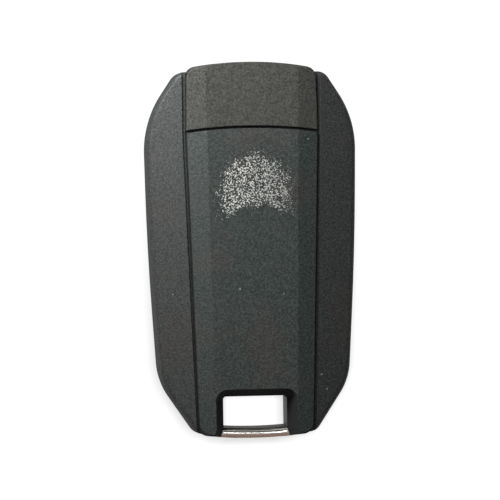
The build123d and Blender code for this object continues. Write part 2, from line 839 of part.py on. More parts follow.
# Remote buttons and their switches
for name, key_y in key_rows.items():
    with BuildPart() as button:
        cap = rounded_blocks([(0, key_y)], key_width, key_height, key_corner_radius)
        layer(cap, key_front_z, key_flange_z)
        fillet(button.faces().sort_by(Axis.Z)[0].edges(), crisp_radius)
        flange_width = key_width + 2 * key_flange
        flange_height = key_height + 2 * key_flange
        flange = rounded_blocks([(0, key_y)], flange_width, flange_height, key_corner_radius)
        layer(flange, key_flange_z, key_flange_z + key_flange_thickness)
    button.part.label = f"{name}_button"
    export_step(button.part, f"parts/{name}_button.step")

    with BuildPart() as switch:
        layer(blocks([(0, key_y)], switch_size, switch_size), switch_low_z, board_z)
        chamfer(switch.edges().filter_by(Axis.Z), crisp_radius)
        bore_top_z = stem_low_z + stem_height + key_stroke + slide_gap
        layer(discs([(0, key_y)], stem_radius + running_gap), switch_low_z, bore_top_z, mode=Mode.SUBTRACT)
    switch.part.label = f"{name}_switch"
    export_step(switch.part, f"parts/{name}_switch.step")

    with BuildPart() as stem:
        layer(discs([(0, key_y)], stem_radius), stem_low_z, stem_low_z + stem_height)
    stem.part.label = f"{name}_switch_stem"
    export_step(stem.part, f"parts/{name}_switch_stem.step")

# Silicone mat behind the buttons: a plate with a skirt up to the board and a pad at each switch
mat_half = key_width / 2 + key_flange + mat_border
mat_length = 2 * key_pitch + key_height + 2 * (key_flange + mat_border)
with BuildPart() as button_mat:
    layer(rounded_blocks([(0, key_mid_y)], 2 * mat_half, mat_length, mat_skirt), mat_low_z, board_z)
    inside = blocks([(0, key_mid_y)], 2 * (mat_half - mat_skirt), mat_length - 2 * mat_skirt)
    layer(inside, mat_high_z, board_z, mode=Mode.SUBTRACT)
    layer(discs(key_places, mat_pad_radius), mat_high_z, stem_low_z)
button_mat.part.label = "button_mat"
export_step(button_mat.part, "parts/button_mat.step")

# Circuit board
with BuildPart() as circuit_board:
    with BuildSketch(Plane.XY.offset(board_z)):
        add(rails_sketch())
        offset(amount=-wall - board_gap)
        with Locations((board_side_x, board_foot_y)):
            Rectangle(case_length, board_length, align=(Align.MAX, Align.MIN), mode=Mode.INTERSECT)
        with Locations(screw_places):
            Circle(spigot_radius + slide_gap, mode=Mode.SUBTRACT)
    extrude(amount=board_thickness)
circuit_board.part.label = "circuit_board"
export_step(circuit_board.part, "parts/circuit_board.step")

# Chips on the board's rear face
chip_row_y = foot_end_y + chip_row_rise
chips = {
    "microcontroller": (microcontroller_x, chip_row_y, microcontroller_size),
    "crystal": (crystal_x, chip_row_y, crystal_size),
    "transponder_coil": (transponder_x, head_end_y - transponder_drop, transponder_size),
}
for name, (chip_x, chip_y, (chip_width, chip_length, chip_height)) in chips.items():
    with BuildPart() as chip:
        layer(blocks([(chip_x, chip_y)], chip_width, chip_length), board_top_z, board_top_z + chip_height)
        chamfer(chip.faces().sort_by(Axis.Z)[-1].edges(), chip_bevel)
    chip.part.label = name
    export_step(chip.part, f"parts/{name}.step")

# Coin cell: the can with its smaller negative cap
with BuildPart() as coin_cell:
    layer(discs(cell_place, cell_radius), cell_low_z + cell_cap_height, cell_high_z)
    fillet(coin_cell.edges(), crisp_radius)
    layer(discs(cell_place, cell_radius - cell_cap_inset), cell_low_z, cell_low_z + cell_cap_height)
coin_cell.part.label = "coin_cell"
export_step(coin_cell.part, "parts/coin_cell.step")

# Battery contacts, bent from sheet
foot_z = board_top_z + contact_sheet / 2
strip_x = cell_x - well_radius + contact_sheet / 2
with BuildPart() as battery_contact_plus:
    with BuildSketch(Plane.XZ.offset(-cell_y)):
        with BuildLine():
            Polyline(
                (strip_x - contact_foot, foot_z),
                (strip_x, foot_z),
                (strip_x, cell_high_z - cell_air),
            )
        trace(line_width=contact_sheet)
    extrude(amount=contact_width / 2, both=True)
battery_contact_plus.part.label = "battery_contact_plus"
export_step(battery_contact_plus.part, "parts/battery_contact_plus.step")

crest_z = cell_low_z - contact_sheet / 2 - running_gap
with BuildPart() as battery_contact_minus:
    with BuildSketch(Plane.XZ.offset(-cell_y)):
        with BuildLine():
            Polyline(
                (cell_x - finger_slot / 2 + slide_gap, foot_z),
                (cell_x - contact_foot / 2, foot_z),
                (cell_x + contact_foot / 2, crest_z),
                (cell_x + contact_foot, crest_z - contact_sheet),
            )
        trace(line_width=contact_sheet)
    extrude(amount=contact_width / 2, both=True)
battery_contact_minus.part.label = "battery_contact_minus"
export_step(battery_contact_minus.part, "parts/battery_contact_minus.step")

# Case screws with cross recesses
with BuildPart() as case_screws:
    layer(discs(screw_places, screw_head_radius), screw_seat_z, screw_seat_z + screw_head_height)
    layer(discs(screw_places, screw_shank_radius), screw_point_z, screw_seat_z)
    for arm_width, arm_length in ((cross_width, cross_length), (cross_length, cross_width)):
        arm = blocks(screw_places, arm_width, arm_length)
        layer(arm, screw_seat_z + screw_head_height / 2, case_depth, mode=Mode.SUBTRACT)
case_screws.part.label = "case_screws"
export_step(case_screws.part, "parts/case_screws.step")
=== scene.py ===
"""Looks of the flip key remote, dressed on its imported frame.

Metres. +Z is the rear face, +Y the head where the blade turns, -Y the key ring end.
"""
from math import cos, pi, radians, sin

import bmesh
import bpy
from mathutils import Matrix, Quaternion, Vector


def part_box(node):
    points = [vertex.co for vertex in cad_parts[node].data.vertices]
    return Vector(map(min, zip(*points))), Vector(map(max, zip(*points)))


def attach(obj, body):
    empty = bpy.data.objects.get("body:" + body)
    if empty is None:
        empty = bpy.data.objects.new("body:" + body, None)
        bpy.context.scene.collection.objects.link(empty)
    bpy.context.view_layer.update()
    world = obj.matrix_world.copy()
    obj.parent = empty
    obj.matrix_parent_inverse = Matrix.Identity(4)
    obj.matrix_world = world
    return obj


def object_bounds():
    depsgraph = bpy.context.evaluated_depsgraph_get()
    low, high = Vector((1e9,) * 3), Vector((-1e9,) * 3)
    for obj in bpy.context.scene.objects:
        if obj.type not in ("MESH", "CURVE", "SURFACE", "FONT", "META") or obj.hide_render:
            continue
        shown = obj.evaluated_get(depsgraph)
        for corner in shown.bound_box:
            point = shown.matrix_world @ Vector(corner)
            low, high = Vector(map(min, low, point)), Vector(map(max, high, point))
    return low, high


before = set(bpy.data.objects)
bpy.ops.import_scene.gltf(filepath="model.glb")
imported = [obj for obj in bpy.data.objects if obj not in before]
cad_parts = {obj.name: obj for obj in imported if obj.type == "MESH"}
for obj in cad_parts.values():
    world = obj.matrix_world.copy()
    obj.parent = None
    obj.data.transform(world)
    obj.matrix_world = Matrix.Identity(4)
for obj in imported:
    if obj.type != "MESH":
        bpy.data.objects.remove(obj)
cad_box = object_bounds()
MM = 0.001

# The photograph: its width in pixels, what one pixel covers, the pixel over the part's middle, and
# how the camera stood. Lean and roll are in degrees.
PHOTO_SIZE = 500
PIXEL = 0.2021 * MM
MIDDLE_PIXEL = Vector((251.0, 249.6))
CAMERA_DISTANCE = 365 * MM
CAMERA_LEAN = 5.3
CAMERA_ROLL = 0.9
SENSOR = 36.0

# Each lamp: place and size in millimetres, power in watts, colour. The first is near and low, the
# second broad and high. The last three are weak, and are there for the chrome to mirror.
LAMPS = {
    "key_lamp": ((-80, 104, 106), 90, 0.68, "#ffffff"),
    "room_light": ((0, 0, 800), 600, 0.3, "#ffffff"),
    "ceiling_lamp": ((-15, 25, 520), 120, 0.22, "#ffffff"),
    "pale_wall": ((0, 520, 330), 300, 0.14, "#e9efe4"),
    "wooden_desk": ((0, -330, 290), 460, 0.26, "#b58873"),
}
WORLD_STRENGTH = 0.1

# The light table glows white and has a painted shadow close to the key: none at the head, full at the
# foot. The painted shadow's normal leans to the near lamp, so the far side gets more of it.
FLOOR_SIZE = 3.0
FLOOR_GAP = 0.02 * MM
TABLE_GLOW = 1.02
SHADE_REACH = 3.2 * MM
SHADE_LEAN = Vector((-0.3, 0.0, 0.95))
SHADE_HEAD_Y = 30.0 * MM
SHADE_FOOT_Y = -36.0 * MM
SHADE_DEPTH = 0.88

# The raised bar shades the table from further off, so its soft shadow outside the foot is painted
BAR_SHADE_INNER_Y = -37.5 * MM
BAR_SHADE_DARK_Y = -38.8 * MM
BAR_SHADE_END_Y = -40.7 * MM
BAR_SHADE_HALF = 5.0 * MM
BAR_SHADE_FADE = 5.0 * MM
BAR_SHADE_DEPTH = 0.29

# Moulded ABS. The noise swings about a half, and each pair says where its share of a colour begins
# and where it is full. A speck of dust fades from core to rim, in shares of the dust's spacing.
ABS_IOR = 1.54
ABS_SPECULAR = 0.28
GRAIN = 0.34 * MM
GRAIN_HEIGHT = 0.05 * MM
CLOUD = 10.0 * MM
CLOUD_LOW, CLOUD_HIGH = 0.46, 0.66
TIP_LOW, TIP_HIGH = 0.38, 0.8
TIP_SHARE = 0.8
POLISH_SWING = 0.08
STEEP_DULLNESS = 0.4
DUST_SPACING = 4.5 * MM
DUST_CORE, DUST_RIM = 0.03, 0.045
DUST_SHARE = 0.5
DUST_COLOUR = "#9a9c98"

# The scuffed patch on the battery cover is an oval less a bite. Each row: middle and half size in
# millimetres, how ragged the rim is, where the rim begins and ends as a share of the half size, and
# the share of specks inside and outside. It fades in over two heights, so only the top face has it.
# The real specks are as fine as the grain and are drawn coarser, so that they show.
PATCH_OVALS = (
    ((0.5, 11.2, 0.0), (9.6, 10.2, 1000.0), 0.5, (0.9, 1.38), (1.0, 0.0)),
    ((1.0, -0.6, 0.0), (8.9, 8.9, 1000.0), 0.3, (1.0, 1.24), (0.0, 1.0)),
)
PATCH_LOW_Z, PATCH_HIGH_Z = 14.9 * MM, 15.3 * MM
# Painted light: the specks fade from full at the bright x to the dim share at the dim x
PATCH_BRIGHT_X, PATCH_DIM_X = -4.0 * MM, 9.0 * MM
PATCH_DIM_SHARE = 0.5
RIM_WAVE = 3.0 * MM
STIPPLE = 0.28 * MM
SPECK_LIFT = 0.3
SPECK_LOW, SPECK_HIGH = 0.83, 0.88
PIT_LOW, PIT_HIGH = 0.4, 0.5

# Polished and plated faces: the moulding's ripple, fine rubs, and where the key ring's bar ends and
# its dull legs begin; from there on the chrome also carries painted shade
PANEL_RIPPLE = 4.0 * MM
CHROME_RIPPLE = 2.0 * MM
RUB_WIDTH = 0.25 * MM
RUB_DULLNESS = 0.25
BAR_INNER_Y = -36.15 * MM
LEG_FADE = 0.2 * MM
LEG_DULLNESS = 0.5

# Ground lines per metre on each axis: along the length of a blade or strip, and across a can. Real
# ones are about 0.02 mm wide and are drawn coarser, so that they show.
BRUSH_WIDTH = 0.05 * MM
BRUSH_LENGTH = 6.0 * MM
LINES_ALONG = (1 / BRUSH_WIDTH, 1 / BRUSH_LENGTH, 1 / BRUSH_WIDTH)
LINES_ACROSS = (1 / BRUSH_LENGTH, 1 / BRUSH_WIDTH, 1 / BRUSH_WIDTH)

# Other patterns. A wave texture at scale 1 has a wave every 0.31.
MOTTLE = 0.3 * MM
TRACK_PITCH = 1.3 * MM
WINDING_PITCH = 0.22 * MM
WAVE_PERIOD = 0.31

# Symbols printed on the remote buttons. The car's outlines are in half lengths and heights.
SYMBOL_THICKNESS = 0.05 * MM
SYMBOL_LINE = 0.45 * MM
LOCK_WIDTH = 3.4 * MM
LOCK_HEIGHT = 2.5 * MM
SHACKLE_RADIUS = 1.05 * MM
SHACKLE_LEG = 0.8 * MM
SHACKLE_LIFT = 0.7 * MM
SHACKLE_STEPS = 16
CAR_LENGTH = 5.4 * MM
CAR_HEIGHT = 1.2 * MM
CAR_BODY = (
    (-1, -1), (1, -1), (1, -0.2), (0.55, 0), (0.2, 0.9), (-0.5, 0.9), (-0.75, 0), (-1, -0.1),
)
BOOT_LID = ((-0.5, 1.05), (-0.42, 1.35), (-1.1, 1.9), (-1.15, 1.55))

# Sockets of a colour Mix node
FACTOR, FIRST, SECOND, RESULT = 0, 6, 7, 2


def linear(hex_colour):
    """An sRGB hex colour as a linear colour."""
    channels = [int(hex_colour[i:i + 2], 16) / 255 for i in (1, 3, 5)]
    return [c / 12.92 if c <= 0.04045 else ((c + 0.055) / 1.055) ** 2.4 for c in channels] + [1.0]


def add_node(tree, kind, inputs=None, output=0, **settings):
    """Add a node with its settings and links, and return one of its outputs."""
    node = tree.nodes.new(kind)
    for name, value in settings.items():
        setattr(node, name, value)
    for key, value in (inputs or {}).items():
        if isinstance(value, bpy.types.NodeSocket):
            tree.links.new(value, node.inputs[key])
        else:
            node.inputs[key].default_value = value
    return node.outputs[output] if node.outputs else None


def start_material(name, colour, roughness, metallic=0.0, ior=1.5):
    """A material with one shader: returns it, its node tree, the shader's sockets and coordinates."""
    material = bpy.data.materials.new(name)
    material.use_nodes = True
    tree = material.node_tree
    tree.nodes.clear()
    surface = add_node(tree, "ShaderNodeBsdfPrincipled", {
        "Base Color": linear(colour), "Roughness": roughness, "Metallic": metallic, "IOR": ior,
    })
    add_node(tree, "ShaderNodeOutputMaterial", {"Surface": surface})
    coords = add_node(tree, "ShaderNodeTexCoord", output="Object")
    return material, tree, surface.node.inputs, coords


def moulded_plastic(name, colour, cloud_colour, tip_colour, painted_shade_colour, roughness, steep, level):
    """ABS from a spark-eroded mould. Its pitted grain breaks the light up into an even matt, with
    paler tips scraped by wear, warmer clouds and a little dust. Steep faces get a painted shade: as
    the upright share of the normal falls from level to steep, a face is painted darker and turns
    duller. The real grain is about 0.1 mm wide and is drawn coarser, so that it shows."""
    material, tree, shader, coords = start_material(name, colour, roughness, ior=ABS_IOR)
    shader["Specular IOR Level"].default_value = ABS_SPECULAR
    haze = add_node(tree, "ShaderNodeTexNoise", {
        "Vector": coords, "Scale": 1 / CLOUD, "Detail": 3.0,
    })
    cloud = add_node(tree, "ShaderNodeMapRange", {
        "Value": haze, "From Min": CLOUD_LOW, "From Max": CLOUD_HIGH,
    })
    clouded = add_node(tree, "ShaderNodeMix", {
        FACTOR: cloud, FIRST: linear(colour), SECOND: linear(cloud_colour),
    }, RESULT, data_type="RGBA")

    grain = add_node(tree, "ShaderNodeTexNoise", {"Vector": coords, "Scale": 1 / GRAIN})
    tips = add_node(tree, "ShaderNodeMapRange", {
        "Value": grain, "From Min": TIP_LOW, "From Max": TIP_HIGH, "To Max": TIP_SHARE,
    })
    grained = add_node(tree, "ShaderNodeMix", {
        FACTOR: tips, FIRST: clouded, SECOND: linear(tip_colour),
    }, RESULT, data_type="RGBA")

    spot = add_node(tree, "ShaderNodeTexVoronoi", {"Vector": coords, "Scale": 1 / DUST_SPACING})
    dust = add_node(tree, "ShaderNodeMapRange", {
        "Value": spot, "From Min": DUST_CORE, "From Max": DUST_RIM,
        "To Min": DUST_SHARE, "To Max": 0.0,
    })
    dusted = add_node(tree, "ShaderNodeMix", {
        FACTOR: dust, FIRST: grained, SECOND: linear(DUST_COLOUR),
    }, RESULT, data_type="RGBA")

    # The level share: steep faces get the painted shade colour from it, and a duller roughness
    normal = add_node(tree, "ShaderNodeTexCoord", output="Normal")
    facing = add_node(tree, "ShaderNodeSeparateXYZ", {0: normal}, "Z")
    flatness = add_node(tree, "ShaderNodeMath", {0: facing}, operation="ABSOLUTE")
    rubbed = add_node(tree, "ShaderNodeMapRange", {
        "Value": flatness, "From Min": steep, "From Max": level,
    })
    # Painted shade: steep faces are painted in the darker shade colour
    dusted_and_shaded = add_node(tree, "ShaderNodeMix", {
        FACTOR: rubbed, FIRST: linear(painted_shade_colour), SECOND: dusted,
    }, RESULT, data_type="RGBA")
    tree.links.new(dusted_and_shaded, shader["Base Color"])

    polish = add_node(tree, "ShaderNodeMapRange", {
        "Value": grain, "From Min": 0.3, "From Max": 0.7,
        "To Min": roughness + POLISH_SWING, "To Max": roughness - POLISH_SWING,
    })
    matt = add_node(tree, "ShaderNodeMapRange", {
        "Value": rubbed, "To Min": STEEP_DULLNESS, "To Max": 0.0,
    })
    dulled = add_node(tree, "ShaderNodeMath", {0: polish, 1: matt}, operation="ADD")
    tree.links.new(dulled, shader["Roughness"])
    relief = add_node(tree, "ShaderNodeBump", {
        "Height": grain, "Strength": 0.6, "Distance": GRAIN_HEIGHT,
    })
    tree.links.new(relief, shader["Normal"])
    return material


def scuff(material, pale, dark):
    """Rub a patch of the top face: the grain's tips are scraped pale and its pits look darker. The
    patch is an oval with a bite out of its lower side, and its specks grow fewer towards a ragged
    rim.
    Painted light makes the specks dimmer on the side away from the near lamp."""
    tree = material.node_tree
    shader = next(node for node in tree.nodes if node.type == "BSDF_PRINCIPLED").inputs
    coords = add_node(tree, "ShaderNodeTexCoord", output="Object")
    place = add_node(tree, "ShaderNodeSeparateXYZ", {0: coords}).node.outputs
    cover = add_node(tree, "ShaderNodeMapRange", {
        "Value": place["Z"], "From Min": PATCH_LOW_Z, "From Max": PATCH_HIGH_Z,
    })
    wave = add_node(tree, "ShaderNodeTexNoise", {"Vector": coords, "Scale": 1 / RIM_WAVE})
    for middle, half, ragged, rim, shares in PATCH_OVALS:
        centred = add_node(tree, "ShaderNodeVectorMath", {
            0: coords, 1: Vector(middle) * MM,
        }, operation="SUBTRACT")
        scaled = add_node(tree, "ShaderNodeVectorMath", {
            0: centred, 1: Vector(half) * MM,
        }, operation="DIVIDE")
        reach = add_node(tree, "ShaderNodeVectorMath", {0: scaled}, "Value", operation="LENGTH")
        edge = add_node(tree, "ShaderNodeMath", {
            0: wave, 1: ragged, 2: reach,
        }, operation="MULTIPLY_ADD")
        kept = add_node(tree, "ShaderNodeMapRange", {
            "Value": edge, "From Min": rim[0], "From Max": rim[1],
            "To Min": shares[0], "To Max": shares[1],
        })
        cover = add_node(tree, "ShaderNodeMath", {0: cover, 1: kept}, operation="MULTIPLY")

    speck = add_node(tree, "ShaderNodeTexNoise", {
        "Vector": coords, "Scale": 1 / STIPPLE, "Roughness": 0.7,
    })
    pit = add_node(tree, "ShaderNodeMapRange", {
        "Value": speck, "From Min": PIT_LOW, "From Max": PIT_HIGH, "To Min": 1.0, "To Max": 0.0,
    })
    pits = add_node(tree, "ShaderNodeMath", {0: pit, 1: cover}, operation="MULTIPLY")
    under = shader["Base Color"].links[0].from_socket
    pitted = add_node(tree, "ShaderNodeMix", {
        FACTOR: pits, FIRST: under, SECOND: linear(dark),
    }, RESULT, data_type="RGBA")

    lifted = add_node(tree, "ShaderNodeMath", {
        0: cover, 1: SPECK_LIFT, 2: speck,
    }, operation="MULTIPLY_ADD")
    scraped = add_node(tree, "ShaderNodeMapRange", {
        "Value": lifted, "From Min": SPECK_LOW, "From Max": SPECK_HIGH,
    })
    # Painted light: the specks are painted dimmer away from the near lamp
    bright = add_node(tree, "ShaderNodeMapRange", {
        "Value": place["X"], "From Min": PATCH_BRIGHT_X, "From Max": PATCH_DIM_X,
        "To Min": 1.0, "To Max": PATCH_DIM_SHARE,
    })
    shown = add_node(tree, "ShaderNodeMath", {0: scraped, 1: bright}, operation="MULTIPLY")
    scuffed = add_node(tree, "ShaderNodeMix", {
        FACTOR: shown, FIRST: pitted, SECOND: linear(pale),
    }, RESULT, data_type="RGBA")
    tree.links.new(scuffed, shader["Base Color"])


def gloss_plastic(name, colour, roughness, haze):
    """Polished acrylic: a deep even black with a clear reflection, faintly hazed by wiping."""
    material, tree, shader, coords = start_material(name, colour, roughness, ior=1.49)
    wiping = add_node(tree, "ShaderNodeMapping", {
        "Vector": coords, "Scale": (1 / CLOUD, 4 / CLOUD, 1 / CLOUD),
    })
    smear = add_node(tree, "ShaderNodeTexNoise", {"Vector": wiping, "Scale": 1.0, "Detail": 5.0})
    hazed = add_node(tree, "ShaderNodeMapRange", {
        "Value": smear, "From Min": 0.4, "From Max": 0.75,
        "To Min": roughness, "To Max": roughness + haze,
    })
    tree.links.new(hazed, shader["Roughness"])
    wave = add_node(tree, "ShaderNodeTexNoise", {"Vector": coords, "Scale": 1 / PANEL_RIPPLE})
    ripple = add_node(tree, "ShaderNodeBump", {
        "Height": wave, "Strength": 0.1, "Distance": 0.05 * MM,
    })
    tree.links.new(ripple, shader["Normal"])
    return material


def chrome(name, colour, roughness, dull_and_shaded_colour=None):
    """Chrome plated on plastic: a mirror that follows the moulding's slight ripple, with fine rubs.
    A dull, shaded colour is for the key ring's legs and the bar's inner face: they turn duller, and
    darker with a painted shade that stands in for the shaded table they mirror."""
    material, tree, shader, coords = start_material(name, colour, roughness, metallic=1.0)
    wave = add_node(tree, "ShaderNodeTexNoise", {"Vector": coords, "Scale": 1 / CHROME_RIPPLE})
    ripple = add_node(tree, "ShaderNodeBump", {
        "Height": wave, "Strength": 0.25, "Distance": 0.06 * MM,
    })
    tree.links.new(ripple, shader["Normal"])
    rub = add_node(tree, "ShaderNodeTexNoise", {
        "Vector": coords, "Scale": 1 / RUB_WIDTH, "Roughness": 0.8,
    })
    rubbed = add_node(tree, "ShaderNodeMapRange", {
        "Value": rub, "From Min": 0.55, "From Max": 0.8,
        "To Min": roughness, "To Max": roughness + RUB_DULLNESS,
    })
    tree.links.new(rubbed, shader["Roughness"])
    # Painted shade: from the bar's inner face on, the chrome is painted darker and made duller
    if dull_and_shaded_colour:
        along = add_node(tree, "ShaderNodeSeparateXYZ", {0: coords}, "Y")
        inside = add_node(tree, "ShaderNodeMapRange", {
            "Value": along, "From Min": BAR_INNER_Y, "From Max": BAR_INNER_Y + LEG_FADE,
        })
        plated = add_node(tree, "ShaderNodeMix", {
            FACTOR: inside, FIRST: linear(colour), SECOND: linear(dull_and_shaded_colour),
        }, RESULT, data_type="RGBA")
        tree.links.new(plated, shader["Base Color"])
        dulled = add_node(tree, "ShaderNodeMath", {
            0: inside, 1: LEG_DULLNESS, 2: rubbed,
        }, operation="MULTIPLY_ADD")
        tree.links.new(dulled, shader["Roughness"])
    return material


def brushed_metal(name, colour, shade, roughness, lines=LINES_ALONG):
    """Ground, rolled or drawn metal: fine straight lines spread the highlight across themselves."""
    material, tree, shader, coords = start_material(name, colour, roughness, metallic=1.0)
    drawn_out = add_node(tree, "ShaderNodeMapping", {"Vector": coords, "Scale": lines})
    score = add_node(tree, "ShaderNodeTexNoise", {"Vector": drawn_out, "Scale": 1.0, "Detail": 4.0})
    toned = add_node(tree, "ShaderNodeMix", {
        FACTOR: score, FIRST: linear(colour), SECOND: linear(shade),
    }, RESULT, data_type="RGBA")
    tree.links.new(toned, shader["Base Color"])
    spread = add_node(tree, "ShaderNodeMapRange", {
        "Value": score, "From Min": 0.3, "From Max": 0.7,
        "To Min": roughness - 0.08, "To Max": roughness + 0.12,
    })
    tree.links.new(spread, shader["Roughness"])
    relief = add_node(tree, "ShaderNodeBump", {
        "Height": score, "Strength": 0.25, "Distance": 0.01 * MM,
    })
    tree.links.new(relief, shader["Normal"])
    return material


def plain_plastic(name, colour, fleck_colour, roughness, ior=1.5):
    """Moulded plastic, rubber or ink without a texture: an even sheen and a faint mottle."""
    material, tree, shader, coords = start_material(name, colour, roughness, ior=ior)
    mottle = add_node(tree, "ShaderNodeTexNoise", {"Vector": coords, "Scale": 1 / MOTTLE})
    toned = add_node(tree, "ShaderNodeMix", {
        FACTOR: mottle, FIRST: linear(colour), SECOND: linear(fleck_colour),
    }, RESULT, data_type="RGBA")
    tree.links.new(toned, shader["Base Color"])
    relief = add_node(tree, "ShaderNodeBump", {
        "Height": mottle, "Strength": 0.3, "Distance": 0.02 * MM,
    })
    tree.links.new(relief, shader["Normal"])
    return material


def circuit_laminate(name):
    """Glass-epoxy board under green solder resist: copper tracks show as a lighter, raised green."""
    material, tree, shader, coords = start_material(name, "#0d3b22", 0.35, ior=1.55)
    tracks = add_node(tree, "ShaderNodeTexBrick", {
        "Vector": coords, "Scale": 1 / TRACK_PITCH,
        "Color1": linear("#16633a"), "Color2": linear("#12552f"), "Mortar": linear("#0b3a20"),
        "Mortar Size": 0.12, "Brick Width": 3.0, "Row Height": 0.5,
    })
    tree.links.new(tracks, shader["Base Color"])
    raised = add_node(tree, "ShaderNodeBump", {
        "Height": tracks, "Strength": 0.4, "Distance": 0.035 * MM,
    })
    tree.links.new(raised, shader["Normal"])
    return material


def copper_winding(name):
    """Enamelled copper wire wound on ferrite: close, glossy turns across the coil's length. Each turn
    is painted lighter on its crown and darker in the crease beside it: painted highlight and shade.
    """
    material, tree, shader, coords = start_material(name, "#7a3b1c", 0.32, metallic=0.6)
    turns = add_node(tree, "ShaderNodeTexWave", {
        "Vector": coords, "Scale": WAVE_PERIOD / WINDING_PITCH, "Distortion": 0.4,
    }, bands_direction="Y")
    # Painted highlight and shade: bright on each turn's crown, dark between turns
    toned = add_node(tree, "ShaderNodeMix", {
        FACTOR: turns, FIRST: linear("#43200f"), SECOND: linear("#a8562c"),
    }, RESULT, data_type="RGBA")
    tree.links.new(toned, shader["Base Color"])
    relief = add_node(tree, "ShaderNodeBump", {
        "Height": turns, "Strength": 0.7, "Distance": 0.05 * MM,
    })
    tree.links.new(relief, shader["Normal"])
    return material


def dress(material, *nodes):
    """Give CAD nodes their finish."""
    for name in nodes:
        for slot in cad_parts[name].material_slots:
            slot.material = material


def piece_from(form, name, material, body):
    """Turn a finished bmesh into a piece that rides on a body."""
    bmesh.ops.recalc_face_normals(form, faces=form.faces)
    mesh = bpy.data.meshes.new(name)
    form.to_mesh(mesh)
    form.free()
    mesh.materials.append(material)
    piece = bpy.data.objects.new(name, mesh)
    bpy.context.collection.objects.link(piece)
    if body:
        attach(piece, body)
    return piece


def make_camera():
    """Look from where the photograph was taken: almost straight above, a little to the left."""
    lens = bpy.data.cameras.new("camera")
    lens.sensor_width = SENSOR
    lens.lens = SENSOR * CAMERA_DISTANCE / (PHOTO_SIZE * PIXEL)
    camera = bpy.data.objects.new("camera", lens)
    off_x = (PHOTO_SIZE / 2 - MIDDLE_PIXEL.x) * PIXEL
    off_y = (MIDDLE_PIXEL.y - PHOTO_SIZE / 2) * PIXEL
    middle_height = (cad_box[0].z + cad_box[1].z) / 2
    target = Vector((off_x, off_y, middle_height))
    lean = radians(CAMERA_LEAN)
    place = target + CAMERA_DISTANCE * Vector((-sin(lean), 0, cos(lean)))
    back = (place - target).normalized()
    across = Vector((0, 1, 0)).cross(back).normalized()
    upright = Matrix((across, back.cross(across), back)).transposed().to_quaternion()
    camera.rotation_mode = "QUATERNION"
    camera.rotation_quaternion = upright @ Quaternion((0, 0, 1), radians(-CAMERA_ROLL))
    camera.location = place
    bpy.context.collection.objects.link(camera)
    bpy.context.scene.camera = camera


def make_lights():
    """A soft lamp near the head's left, weak ones round about, and a faint light from all sides."""
    for name, (place, size, power, colour) in LAMPS.items():
        light = bpy.data.lights.new(name, "AREA")
        light.shape = "DISK"
        light.size = size * MM
        light.energy = power
        light.color = linear(colour)[:3]
        lamp = bpy.data.objects.new(name, light)
        lamp.location = Vector(place) * MM
        lamp.rotation_mode = "QUATERNION"
        lamp.rotation_quaternion = (-lamp.location).to_track_quat("-Z", "Y")
        bpy.context.collection.objects.link(lamp)

    world = bpy.data.worlds.new("studio")
    world.use_nodes = True
    background = world.node_tree.nodes["Background"]
    background.inputs["Color"].default_value = linear("#f4f6f8")
    background.inputs["Strength"].default_value = WORLD_STRENGTH
    bpy.context.scene.world = world
    bpy.context.scene.view_settings.view_transform = "Standard"


def make_light_table():
    """A white sheet lit from below, with a painted soft shadow where the key stands close to it."""
    paper, tree, shader, coords = start_material("light_table", "#101010", 0.9)
    shader["Emission Color"].default_value = linear("#ffffff")
    place = add_node(tree, "ShaderNodeSeparateXYZ", {0: coords}).node.outputs
    leant = add_node(tree, "ShaderNodeCombineXYZ", {
        "X": SHADE_LEAN.x, "Y": SHADE_LEAN.y, "Z": SHADE_LEAN.z,
    })
    open_share = add_node(tree, "ShaderNodeAmbientOcclusion", {
        "Distance": SHADE_REACH, "Normal": leant,
    }, "AO")
    shut_share = add_node(tree, "ShaderNodeMath", {0: 1.0, 1: open_share}, operation="SUBTRACT")
    depth = add_node(tree, "ShaderNodeMapRange", {
        "Value": place["Y"], "From Min": SHADE_HEAD_Y, "From Max": SHADE_FOOT_Y,
        "To Max": SHADE_DEPTH,
    })
    painted_key_shadow = add_node(tree, "ShaderNodeMath", {0: shut_share, 1: depth}, operation="MULTIPLY")

    painted_bar_shadow = add_node(tree, "ShaderNodeMapRange", {
        "Value": place["Y"], "From Min": BAR_SHADE_END_Y, "From Max": BAR_SHADE_DARK_Y,
        "To Max": BAR_SHADE_DEPTH,
    }, interpolation_type="SMOOTHSTEP")
    outside = add_node(tree, "ShaderNodeMath", {
        0: place["Y"], 1: BAR_SHADE_INNER_Y,
    }, operation="LESS_THAN")
    aside = add_node(tree, "ShaderNodeMath", {0: place["X"]}, operation="ABSOLUTE")
    along_bar = add_node(tree, "ShaderNodeMapRange", {
        "Value": aside, "From Min": BAR_SHADE_HALF + BAR_SHADE_FADE, "From Max": BAR_SHADE_HALF,
    })
    for share in (outside, along_bar):
        painted_bar_shadow = add_node(tree, "ShaderNodeMath", {
            0: painted_bar_shadow, 1: share,
        }, operation="MULTIPLY")

    # Painted shadow: the key's and the bar's shadows are taken off the table's glow
    shade = add_node(tree, "ShaderNodeMath", {0: painted_key_shadow, 1: painted_bar_shadow}, operation="ADD")
    glow = add_node(tree, "ShaderNodeMath", {0: TABLE_GLOW, 1: shade}, operation="SUBTRACT")
    tree.links.new(glow, shader["Emission Strength"])
    sheet = bmesh.new()
    bmesh.ops.create_grid(sheet, x_segments=1, y_segments=1, size=FLOOR_SIZE / 2)
    bmesh.ops.translate(sheet, verts=sheet.verts, vec=(0, 0, -FLOOR_GAP))
    piece_from(sheet, "floor", paper, None)


def face_outline(form, points):
    """One flat face through points in the button's plane."""
    return form.faces.new([form.verts.new((x, y, 0)) for x, y in points])


